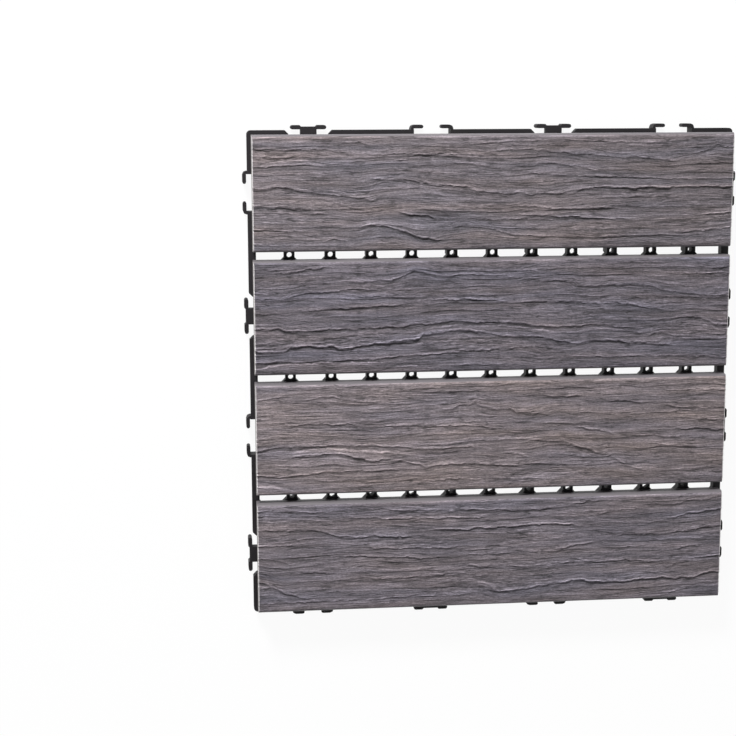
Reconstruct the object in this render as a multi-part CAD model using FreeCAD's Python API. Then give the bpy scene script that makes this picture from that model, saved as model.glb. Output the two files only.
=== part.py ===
import FreeCAD, Part
import math
import os

from FreeCAD import Vector

# Interlocking deck tile: four wood-plastic slats screwed from below to one moulded base.
# X runs along the slats, Z is up, and the origin is on the ground under the tile's middle.
# All sizes are in millimetres.

# Layout in plan
module = 300.0            # from one laid tile to the next
slat_count = 4
cells_per_bay = 3         # lattice cells across the share of the module that one slat takes
drain_gap = 5.2           # between two slats of the tile
slat_gap = 5.6            # between the slats of two laid tiles
joint_gap = 0.6           # between the rims of two laid tiles

# Heights
seat_height = 10.4        # ground to the underside of the slats
slat_thickness = 11.6
rim_drop = 0.9            # rim top below the slats
rim_height = 5.9
rib_depth = 6.4
arm_drop = 1.0            # top of the hook arms below the rim top
tab_drop = 0.7            # top of the T tabs below the rim top
tab_ground_gap = 0.4      # foot of the T tabs above the ground

# Slat section
slat_top_round = 2.6      # long upper edges
slat_foot_bevel = 0.7     # long lower edges

# Rim, an inverted channel
outer_wall = 1.7
inner_wall = 1.6
ledge_thickness = 1.6
rim_corner_round = 2.5
channel_end_wall = 1.5    # closes the channel beside a tab or socket
notch_bevel = 2.2         # slanted rim ends beside a tab

# T tab
cap_width = 21.6
cap_thickness = 2.5
cap_recess = 0.9          # middle of the cap's outer face set back
bulb_length = 5.5         # full-thickness ends of the cap
stem_width = 9.8

# Hook socket
arm_thickness = 2.2
arm_side_wall = 1.8
arm_foot_bevel = 2.4      # lead-in on the lower mouth corners
detent_height = 0.3
detent_pitch = 2.3
detent_count = 3

# Clearances between two laid tiles
drop_clearance = 0.2      # tab to the neighbour's slats as the tile is lowered
cap_side_clearance = 0.4
cap_back_clearance = 0.4
cap_hold_clearance = 0.4
stem_clearance = 0.4
arm_clearance = 1.35      # arm to the slanted rim ends

# Lattice and feet
rib_width = 2.2
foot_every = 2            # nodes from one foot to the next
node_flat = 7.4           # across the flats of a node
foot_flat = 7.0           # across the flats at the ground
pocket_flat = 5.6         # hollow inside a foot
gap_node_slimmer = 1.0    # nodes, feet and hollows in line with the drain gaps
node_top = 2.4            # solid top above the hollow
drain_hole_flat = 3.1
corner_foot_inset = 10.5  # from the rim's outer faces

# Screws
shank_diameter = 3.4
shank_clearance = 0.25    # radial, in the base
thread_clearance = 0.05   # radial, in the slat
head_diameter = 5.0
head_height = 1.9
head_bevel = 0.5          # head narrower at its face, each side
screw_bite = 7.6          # length inside the slat
point_length = 1.8
point_flat = 0.8
pilot_spare = 0.8         # pilot hole deeper than the screw

# Flats that stand for round forms too small and too many to be true rounds
round_sides = 8           # feet and drain holes
small_round_sides = 6     # screws, the holes in line with them, and the feet's hollows
half_round_steps = 4      # tab and hook ends

# Worked out from the sizes above
bay = module / slat_count
cell = bay / cells_per_bay
half_cells = slat_count * cells_per_bay // 2
slat_length = module - slat_gap
slat_width = (slat_length - (slat_count - 1) * drain_gap) / slat_count
slat_pitch = slat_width + drain_gap
rim_half = (module - joint_gap) / 2
rim_top = seat_height - rim_drop
rim_foot = rim_top - rim_height
rib_foot = seat_height - rib_depth
tab_reach = (slat_gap + joint_gap) / 2 - drop_clearance
cap_inner = tab_reach - cap_thickness
channel_depth = tab_reach - joint_gap + detent_height + cap_back_clearance
lattice_half = rim_half - channel_depth - inner_wall
pocket_half = cap_width / 2 + cap_side_clearance
mouth_half = stem_width / 2 + stem_clearance
arm_inner = joint_gap - cap_inner + cap_hold_clearance
arm_outer = arm_inner + arm_thickness
arm_half = pocket_half + arm_side_wall
notch_half = arm_half + arm_clearance
pocket_top = seat_height - node_top
overlap = 0.5             # how far joined forms run into each other


def points_to_wire(points, z):
    corners = [Vector(x, y, z) for x, y in points]
    return Part.makePolygon(corners + corners[:1])


def prism(points, z_low, z_high):
    face = Part.Face(points_to_wire(points, z_low))
    return face.extrude(Vector(0, 0, z_high - z_low))


def block(x_low, x_high, y_low, y_high, z_low, z_high):
    size = (x_high - x_low, y_high - y_low, z_high - z_low)
    return Part.makeBox(*size, Vector(x_low, y_low, z_low))


def many_sided(sides, flat):
    """Regular outline about the origin, measured across its flats."""
    radius = flat / 2 / math.cos(math.pi / sides)
    turns = [(i + 0.5) * 2 * math.pi / sides for i in range(sides)]
    return [(radius * math.cos(t), radius * math.sin(t)) for t in turns]


def tapered(sides, flat_low, flat_high, z_low, z_high):
    """Upright many-sided solid that narrows or widens evenly, made from its flat faces."""
    low = [Vector(x, y, z_low) for x, y in many_sided(sides, flat_low)]
    high = [Vector(x, y, z_high) for x, y in many_sided(sides, flat_high)]
    rings = [low, high]
    for i in range(sides):
        after = (i + 1) % sides
        rings.append([low[i], low[after], high[after], high[i]])
    faces = [Part.Face(Part.makePolygon(ring + ring[:1])) for ring in rings]
    solid = Part.Solid(Part.Shell(faces))
    if solid.Volume < 0:
        solid.reverse()
    return solid


def arc_points(x, y, radius, start, end, steps):
    """Points on an arc about (x, y), from one angle to another in degrees."""
    turns = [math.radians(start + (end - start) * i / steps) for i in range(steps + 1)]
    return [(x + radius * math.cos(t), y + radius * math.sin(t)) for t in turns]


def moved(shape, x, y):
    copy = shape.copy()
    copy.translate(Vector(x, y, 0))
    return copy


def on_all_sides(shape):
    """The same form turned onto each of the four sides."""
    turned = []
    for quarter in range(4):
        copy = shape.copy()
        copy.rotate(Vector(0, 0, 0), Vector(0, 0, 1), -90 * quarter)
        turned.append(copy)
    return turned


def middles(pitch):
    """Four places at this pitch, as many on each side of the tile's middle."""
    first = -(slat_count - 1) / 2 * pitch
    return [first + i * pitch for i in range(slat_count)]


def tab_places():
    return middles(bay)[0::2]


def socket_places():
    return middles(bay)[1::2]


# Lattice of diagonal ribs

def clipped(points, half):
    """The polygon's part inside a square of this half size."""
    for nx, ny in ((1, 0), (-1, 0), (0, 1), (0, -1)):
        kept = []
        for (ax, ay), (bx, by) in zip(points, points[1:] + points[:1]):
            a = half - (nx * ax + ny * ay)
            b = half - (nx * bx + ny * by)
            if a >= 0:
                kept.append((ax, ay))
            if a * b < 0:
                t = a / (a - b)
                kept.append((ax + t * (bx - ax), ay + t * (by - ay)))
        points = kept
    return points


def polygon_area(points):
    pairs = zip(points, points[1:] + points[:1])
    return sum(ax * by - bx * ay for (ax, ay), (bx, by) in pairs) / 2


def pocket_corner(i, j):
    """The pocket's corner at a node, as (distance before the node, half width) pairs."""
    if not has_boss(i, j):
        return [(rib_width / math.sqrt(2), 0.0)]
    reach = (node_flat - slimmer(j)) / 2
    side = reach - rib_width / math.sqrt(2)
    return [(reach, -side), (reach, side)]


def rib_pocket(i, j, along_x):
    """Opening between four ribs, from node (i, j) to the next one along X or Y."""
    far = cell / 2 - rib_width / math.sqrt(2)
    after = (i + 1, j) if along_x else (i, j + 1)
    ahead = [(cell - gap, side) for gap, side in pocket_corner(*after)]
    behind = [(gap, -side) for gap, side in pocket_corner(i, j)]
    shape = ahead + [(cell / 2, far)] + behind + [(cell / 2, -far)]
    if not along_x:
        shape = [(-b, a) for a, b in shape]
    return [(i * cell + a, j * cell + b) for a, b in shape]


def lattice_pockets():
    span = range(-half_cells, half_cells + 1)
    pockets = [rib_pocket(i, j, along_x) for i in span for j in span for along_x in (True, False)]
    inside = [clipped(p, lattice_half) for p in pockets]
    return [p for p in inside if len(p) > 2 and polygon_area(p) > cell]


def lattice():
    edge = lattice_half + inner_wall / 2
    square = [(-edge, -edge), (edge, -edge), (edge, edge), (-edge, edge)]
    outlines = [square] + [p[::-1] for p in lattice_pockets()]
    face = Part.Face([points_to_wire(p, rib_foot) for p in outlines])
    plate = face.extrude(Vector(0, 0, rib_depth))
    # the plate's border stops at the rim's top
    cover = block(-rim_half, rim_half, -rim_half, rim_half, rim_top, seat_height + overlap)
    inner = block(-lattice_half, lattice_half, -lattice_half, lattice_half, 0, 2 * seat_height)
    return plate.cut(cover.cut(inner))


# Nodes and feet

def nodes():
    span = range(-half_cells + 1, half_cells)
    return [(i, j) for i in span for j in span]


def is_gap_row(j):
    return (j + half_cells) % cells_per_bay == 0


def slimmer(j):
    return gap_node_slimmer if is_gap_row(j) else 0.0


def has_foot(i, j):
    return (i + half_cells) % foot_every == 1 and (j + half_cells) % foot_every == 1


def has_screw(i, j):
    """Two rows in each slat: the outer row near the ends, the other nearer the middle."""
    if is_gap_row(j):
        return False
    return abs(i) == (half_cells - 1 if (j + half_cells) % 2 else half_cells // 3)


def has_boss(i, j):
    at_rim = max(abs(i), abs(j)) >= half_cells
    return not at_rim and (has_foot(i, j) or is_gap_row(j) or has_screw(i, j))


def corner_feet():
    place = rim_half - corner_foot_inset
    return [(x, y) for x in (-place, place) for y in (-place, place)]


def screw_nodes():
    return [(i, j) for i, j in nodes() if has_screw(i, j)]


def foot(slim, top):
    return tapered(round_sides, foot_flat - slim, node_flat - slim, 0, top)


def feet():
    whole = foot(0.0, seat_height)
    foot_nodes = [(i, j) for i, j in nodes() if has_foot(i, j)]
    at_nodes = [moved(foot(slimmer(j), rib_foot), i * cell, j * cell) for i, j in foot_nodes]
    return at_nodes + [moved(whole, x, y) for x, y in corner_feet()]


def hollow(slim):
    return prism(many_sided(small_round_sides, pocket_flat - slim), -overlap, pocket_top)


def foot_hollows():
    """Hollows inside the feet, and the same ones below the other screws and drain holes."""
    hollow_nodes = [(i, j) for i, j in nodes() if has_boss(i, j)]
    at_nodes = [moved(hollow(slimmer(j)), i * cell, j * cell) for i, j in hollow_nodes]
    return at_nodes + [moved(hollow(0.0), x, y) for x, y in corner_feet()]


def node_holes():
    top = seat_height + overlap
    drain = prism(many_sided(round_sides, drain_hole_flat), rib_foot - overlap, top)
    screw_flat = shank_diameter + 2 * shank_clearance
    screw_hole = prism(many_sided(small_round_sides, screw_flat), pocket_top - overlap, top)
    drains = [moved(drain, i * cell, j * cell) for i, j in nodes() if is_gap_row(j)]
    return drains + [moved(screw_hole, i * cell, j * cell) for i, j in screw_nodes()]


# Rim and its channel

def rounded_square(half, radius, z_low, z_high):
    solid = block(-half, half, -half, half, z_low, z_high)
    corners = [e for e in solid.Edges if e.BoundBox.ZLength > (z_high - z_low) / 2]
    return solid.makeFillet(radius, corners)


def channel_run(start, end):
    """Hollow under the ledge of the +Y side between two places along it."""
    low = rim_half - channel_depth
    high = rim_half - outer_wall
    return block(start, end, low, high, rim_foot - overlap, rim_top - ledge_thickness)


def channel_runs():
    """The channel goes on round the corners, and stops short of each tab and socket."""
    runs = []
    start = outer_wall - rim_half
    stops = [(x, notch_half) for x in tab_places()] + [(x, pocket_half) for x in socket_places()]
    for place, half in sorted(stops):
        solid_half = half + channel_end_wall
        runs.append(channel_run(start, place - solid_half))
        start = place + solid_half
    return runs + [channel_run(start, rim_half - outer_wall)]


def tab_notch(place):
    """Opening in the rim beside a tab, its ends slanted to lead the neighbour's hooks in."""
    inner = notch_half - notch_bevel
    back = rim_half - channel_depth
    front = rim_half + overlap
    points = [
        (place - inner, back),
        (place + inner, back),
        (place + inner, rim_half - notch_bevel),
        (place + notch_half, rim_half),
        (place + notch_half, front),
        (place - notch_half, front),
        (place - notch_half, rim_half),
        (place - inner, rim_half - notch_bevel),
    ]
    return prism(points, rim_foot - overlap, rim_top + overlap)


def socket_notch(place):
    back = rim_half - channel_depth
    front = rim_half + overlap
    return block(
        place - pocket_half, place + pocket_half, back, front, rim_foot - overlap, rim_top + overlap
    )


def rim():
    ring = rounded_square(rim_half, rim_corner_round, rim_foot, rim_top)
    middle = block(-lattice_half, lattice_half, -lattice_half, lattice_half, 0, seat_height)
    notches = [tab_notch(x) for x in tab_places()] + [socket_notch(x) for x in socket_places()]
    side = Part.makeCompound(channel_runs() + notches)
    return ring.cut([middle] + on_all_sides(side))


# Tabs and hooks, drawn on the +Y side

def tab(place):
    """T tab: a cap with full round ends and a set-back middle, on a stem from the inner wall."""
    y_in = rim_half + cap_inner
    y_out = rim_half + tab_reach
    y_mid = y_out - cap_recess
    radius = cap_thickness / 2
    tip = cap_width / 2 - radius
    bulb_foot = cap_width / 2 - bulb_length
    slope_foot = bulb_foot - cap_recess
    right = arc_points(tip, y_in + radius, radius, -90, 90, half_round_steps)
    right += [(bulb_foot, y_out), (slope_foot, y_mid)]
    left = [(-x, y) for x, y in reversed(right)]
    top = rim_top - tab_drop
    cap = prism([(place + x, y) for x, y in right + left], tab_ground_gap, top)
    stem = block(
        place - stem_width / 2,
        place + stem_width / 2,
        rim_half - channel_depth - inner_wall / 2,
        (y_in + y_mid) / 2,
        rim_foot,
        top,
    )
    return cap.fuse(stem)


def hook_arm():
    """Right-hand arm of a socket placed at zero: along the pocket, then in to a round end."""
    back = rim_half - channel_depth - inner_wall / 2
    y_in = rim_half + arm_inner
    y_out = rim_half + arm_outer
    radius = arm_thickness / 2
    bend = arc_points(arm_half - arm_thickness, y_in, arm_thickness, 0, 90, half_round_steps // 2)
    end = arc_points(mouth_half + radius, y_in + radius, radius, 90, 270, half_round_steps)
    outline = [(arm_half, back)] + bend + end + [(pocket_half, y_in), (pocket_half, back)]
    return prism(outline, 0, rim_top - arm_drop)


def arm_lead_in():
    """Wedge that bevels the lower mouth corner of the right-hand arm."""
    wedge = [(mouth_half - overlap, -overlap), (mouth_half + arm_foot_bevel + overlap, -overlap),
             (mouth_half - overlap, arm_foot_bevel + overlap)]
    corners = [Vector(x, rim_half + arm_inner - overlap, z) for x, z in wedge]
    face = Part.Face(Part.makePolygon(corners + corners[:1]))
    return face.extrude(Vector(0, arm_thickness + 2 * overlap, 0))


def detents(place):
    """Small upright ridges on the pocket's back wall that grip the tab."""
    back = rim_half - channel_depth
    first = place - (detent_count - 1) / 2 * detent_pitch
    ridges = []
    for i in range(detent_count):
        x = first + i * detent_pitch
        points = [
            (x - detent_height, back - overlap),
            (x + detent_height, back - overlap),
            (x + detent_height, back),
            (x, back + detent_height),
            (x - detent_height, back),
        ]
        ridges.append(prism(points, rim_foot, rim_top))
    return ridges


def socket(place):
    right = hook_arm().cut(arm_lead_in())
    left = right.mirror(Vector(0, 0, 0), Vector(1, 0, 0))
    return [moved(right, place, 0), moved(left, place, 0)] + detents(place)


def connections():
    side = [tab(x) for x in tab_places()]
    for x in socket_places():
        side += socket(x)
    return [solid for turned in on_all_sides(Part.makeCompound(side)) for solid in turned.Solids]


def base_grid():
    joined = lattice().fuse([rim()] + feet() + connections())
    return joined.cut(foot_hollows() + node_holes()).removeSplitter()


# Slats and screws

def pilot_holes(slat_middle):
    low = seat_height - overlap
    high = seat_height + screw_bite + pilot_spare
    flat = shank_diameter + 2 * thread_clearance
    hole = prism(many_sided(small_round_sides, flat), low, high)
    return [
        moved(hole, i * cell, j * cell)
        for i, j in screw_nodes()
        if abs(j * cell - slat_middle) < slat_width / 2
    ]


def slat(slat_middle):
    x = -slat_length / 2
    half = slat_width / 2
    low = seat_height
    top = seat_height + slat_thickness
    r = slat_top_round
    swing = r * (1 - math.sqrt(0.5))

    def at(y, z):
        return Vector(x, slat_middle + y, z)

    def line(a, b):
        return Part.LineSegment(at(*a), at(*b)).toShape()

    edges = [
        line((-half + slat_foot_bevel, low), (half - slat_foot_bevel, low)),
        line((half - slat_foot_bevel, low), (half, low + slat_foot_bevel)),
        line((half, low + slat_foot_bevel), (half, top - r)),
        Part.Arc(at(half, top - r), at(half - swing, top - swing), at(half - r, top)).toShape(),
        line((half - r, top), (-half + r, top)),
        Part.Arc(at(-half + r, top), at(-half + swing, top - swing), at(-half, top - r)).toShape(),
        line((-half, top - r), (-half, low + slat_foot_bevel)),
        line((-half, low + slat_foot_bevel), (-half + slat_foot_bevel, low)),
    ]
    board = Part.Face(Part.Wire(edges)).extrude(Vector(slat_length, 0, 0))
    return board.cut(pilot_holes(slat_middle))


def screw():
    """Screw with its head down in a node's hollow and its shank up through the node into the slat."""
    head_flat = head_diameter - 2 * head_bevel
    head_foot = pocket_top - head_height
    head = tapered(small_round_sides, head_flat, head_diameter, head_foot, pocket_top)
    point_foot = seat_height + screw_bite - point_length
    shank = prism(many_sided(small_round_sides, shank_diameter), pocket_top, point_foot)
    tip = point_foot + point_length
    point = tapered(small_round_sides, shank_diameter, point_flat, point_foot, tip)
    return head.fuse([shank, point]).removeSplitter()


def slat_screws():
    one = screw()
    return Part.makeCompound([moved(one, i * cell, j * cell) for i, j in screw_nodes()])


def export(shape, name):
    shape.exportStep(os.path.join("parts", name + ".step"))
    print(name, "solids", len(shape.Solids), "volume", round(shape.Volume))


os.makedirs("parts", exist_ok=True)
export(base_grid(), "base_grid")
for number, middle in enumerate(reversed(middles(slat_pitch)), 1):
    export(slat(middle), "slat_" + str(number))
export(slat_screws(), "slat_screws")
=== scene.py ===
import bpy
import numpy as np
from mathutils import Matrix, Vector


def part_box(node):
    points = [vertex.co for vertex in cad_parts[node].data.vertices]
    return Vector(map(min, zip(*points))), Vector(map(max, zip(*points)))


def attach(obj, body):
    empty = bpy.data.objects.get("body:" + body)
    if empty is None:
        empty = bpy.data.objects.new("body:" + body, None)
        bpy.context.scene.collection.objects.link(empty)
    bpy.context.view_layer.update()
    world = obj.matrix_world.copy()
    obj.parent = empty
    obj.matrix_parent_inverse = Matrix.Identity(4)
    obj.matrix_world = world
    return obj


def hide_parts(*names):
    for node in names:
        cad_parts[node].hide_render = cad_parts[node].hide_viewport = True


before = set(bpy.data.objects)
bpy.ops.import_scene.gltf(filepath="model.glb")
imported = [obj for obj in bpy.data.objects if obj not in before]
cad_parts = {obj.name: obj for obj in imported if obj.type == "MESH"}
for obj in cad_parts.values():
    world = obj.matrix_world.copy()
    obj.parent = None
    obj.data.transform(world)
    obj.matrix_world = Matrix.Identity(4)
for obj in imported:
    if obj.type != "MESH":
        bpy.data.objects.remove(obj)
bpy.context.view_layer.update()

mm = 0.001


def linear(hexCode):
    # sRGB hex to linear colour: straight below 0.04045, a 2.4 power curve above it
    channels = [int(hexCode[i:i + 2], 16) / 255 for i in (1, 3, 5)]
    return [c / 12.92 if c <= 0.04045 else ((c + 0.055) / 1.055) ** 2.4 for c in channels] + [1.0]


def addNode(tree, kind, settings=None, links=None):
    # settings are node properties or input values, links are input: output socket
    node = tree.nodes.new(kind)
    for key, value in (settings or {}).items():
        if isinstance(key, int) or key in node.inputs.keys():
            node.inputs[key].default_value = value
        else:
            setattr(node, key, value)
    for key, source in (links or {}).items():
        tree.links.new(source, node.inputs[key])
    return node


def newMaterial(name):
    material = bpy.data.materials.new(name)
    material.use_nodes = True
    material.node_tree.nodes.clear()
    return material, material.node_tree


def placeInScene(name, data):
    thing = bpy.data.objects.new(name, data)
    bpy.context.scene.collection.objects.link(thing)
    return thing


def smoothStep(low, high, value):
    # 0 below low, 1 above high, an S curve between
    t = np.clip((value - low) / (high - low), 0, 1)
    return t * t * (3 - 2 * t)


def valueNoise(rng, u, v, stepU, stepV, octaves=2, gain=0.5):
    # random heights on a lattice, blended smoothly, with each octave half the size of the one before
    # and gain times as strong, from -1 to 1
    total = 0
    weight = 0
    size = 1.0
    u0, v0 = u.min(), v.min()
    for octave in range(octaves):
        cellU, cellV = stepU / 2 ** octave, stepV / 2 ** octave
        lattice = rng.uniform(-1, 1, (int((v.max() - v0) / cellV) + 3, int((u.max() - u0) / cellU) + 3))
        a, b = (u - u0) / cellU, (v - v0) / cellV
        i, j = np.floor(a).astype(int), np.floor(b).astype(int)
        s, t = a - i, b - j
        s, t = s * s * (3 - 2 * s), t * t * (3 - 2 * t)
        low = lattice[j, i] * (1 - s) + lattice[j, i + 1] * s
        high = lattice[j + 1, i] * (1 - s) + lattice[j + 1, i + 1] * s
        total = total + size * (low * (1 - t) + high * t)
        weight += size
        size *= gain
    return total / weight


def lineNoise(rng, x, step, octaves=2):
    return valueNoise(rng, x, np.zeros_like(x), step, 1, octaves)


camera = {
    "place": (-0.17875, 0.16550, 0.95714),
    "right": (0.9942334, -0.0033776, 0.1071848),
    "up": (0.0211925, 0.9859807, -0.1655082),
    "back": (-0.1051230, 0.1668254, 0.9803665),
    "lens": 76.576,
    "sensorWidth": 36.0,
    "nearest": 0.01,
}

studio = {
    "keyPlace": (-0.62, 1.45, 0.95),
    "keySize": 0.45,
    "keyPower": 48.0,
    "fillPlace": (0.9, -0.5, 1.8),
    "fillSize": 1.6,
    "fillPower": 4.0,
    "lampTarget": (0, 0, 0.01),
    "sky": 0.30,
    "floorColour": "#f4f4f5",
    "floorGlow": 0.94,   # how much of the floor the camera sees as plain white
    "floorReach": 4.0,
}


def turnedTo(place, right, up, back):
    # a matrix whose columns are the three axes, then the place
    turned = Matrix.Identity(4)
    for row in range(3):
        turned[row][0], turned[row][1], turned[row][2] = right[row], up[row], back[row]
        turned[row][3] = place[row]
    return turned


def pointAt(place, target):
    back = np.array(place, float) - np.array(target, float)
    back /= np.linalg.norm(back)
    right = np.cross((0, 0, 1), back)
    right /= np.linalg.norm(right)
    return turnedTo(place, right, np.cross(back, right), back)


def makeCamera():
    data = bpy.data.cameras.new("camera")
    data.sensor_fit = "HORIZONTAL"
    data.sensor_width = camera["sensorWidth"]
    data.lens = camera["lens"]
    data.clip_start = camera["nearest"]
    holder = placeInScene("camera", data)
    holder.matrix_world = turnedTo(camera["place"], camera["right"], camera["up"], camera["back"])
    bpy.context.scene.camera = holder


def makeLamp(name, place, size, power):
    data = bpy.data.lights.new(name, "AREA")
    data.shape = "DISK"
    data.size = size
    data.energy = power
    placeInScene(name, data).matrix_world = pointAt(place, studio["lampTarget"])


def seenBy(tree, rays):
    # 1 for a ray of any of these kinds, 0 for the others
    path = addNode(tree, "ShaderNodeLightPath")
    seen = path.outputs[rays[0]]
    for ray in rays[1:]:
        both = {0: seen, 1: path.outputs[ray]}
        seen = addNode(tree, "ShaderNodeMath", {"operation": "MAXIMUM"}, both).outputs[0]
    return seen


def makeWorld():
    world = bpy.data.worlds.new("studioWorld")
    world.use_nodes = True
    tree = world.node_tree
    tree.nodes.clear()
    seen = seenBy(tree, ("Is Camera Ray", "Is Transmission Ray"))
    soft = addNode(tree, "ShaderNodeBackground", {"Color": (1, 1, 1, 1), "Strength": studio["sky"]})
    white = addNode(tree, "ShaderNodeBackground", {"Color": (1, 1, 1, 1), "Strength": 1.0})
    mixed = addNode(tree, "ShaderNodeMixShader", None, {0: seen, 1: soft.outputs[0], 2: white.outputs[0]})
    addNode(tree, "ShaderNodeOutputWorld", None, {"Surface": mixed.outputs[0]})
    bpy.context.scene.world = world
    bpy.context.scene.view_settings.view_transform = "Standard"


def mattPaper():
    # a matt paper sweep: the eye sees it almost white, with the object's shadow left in it
    material, tree = newMaterial("paperSweepMatt")
    seen = seenBy(tree, ("Is Camera Ray", "Is Glossy Ray", "Is Transmission Ray"))
    share = addNode(tree, "ShaderNodeMath", {"operation": "MULTIPLY", 1: studio["floorGlow"]}, {0: seen})
    matt = addNode(tree, "ShaderNodeBsdfDiffuse", {"Color": linear(studio["floorColour"])})
    glow = addNode(tree, "ShaderNodeEmission", {"Color": (1, 1, 1, 1), "Strength": 1.0})
    mixed = addNode(tree, "ShaderNodeMixShader", None,
                    {0: share.outputs[0], 1: matt.outputs[0], 2: glow.outputs[0]})
    addNode(tree, "ShaderNodeOutputMaterial", None, {"Surface": mixed.outputs[0]})
    return material


def makeFloor():
    reach = studio["floorReach"]
    mesh = bpy.data.meshes.new("floor")
    corners = [(-reach, -reach, 0), (reach, -reach, 0), (reach, reach, 0), (-reach, reach, 0)]
    mesh.from_pydata(corners, [], [(0, 1, 2, 3)])
    mesh.materials.append(mattPaper())
    floor = placeInScene("floor", mesh)


def makeStudio():
    makeCamera()
    makeLamp("keyLamp", studio["keyPlace"], studio["keySize"], studio["keyPower"])
    makeLamp("fillLamp", studio["fillPlace"], studio["fillSize"], studio["fillPower"])
    makeWorld()
    makeFloor()
    print("studio made")


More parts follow.
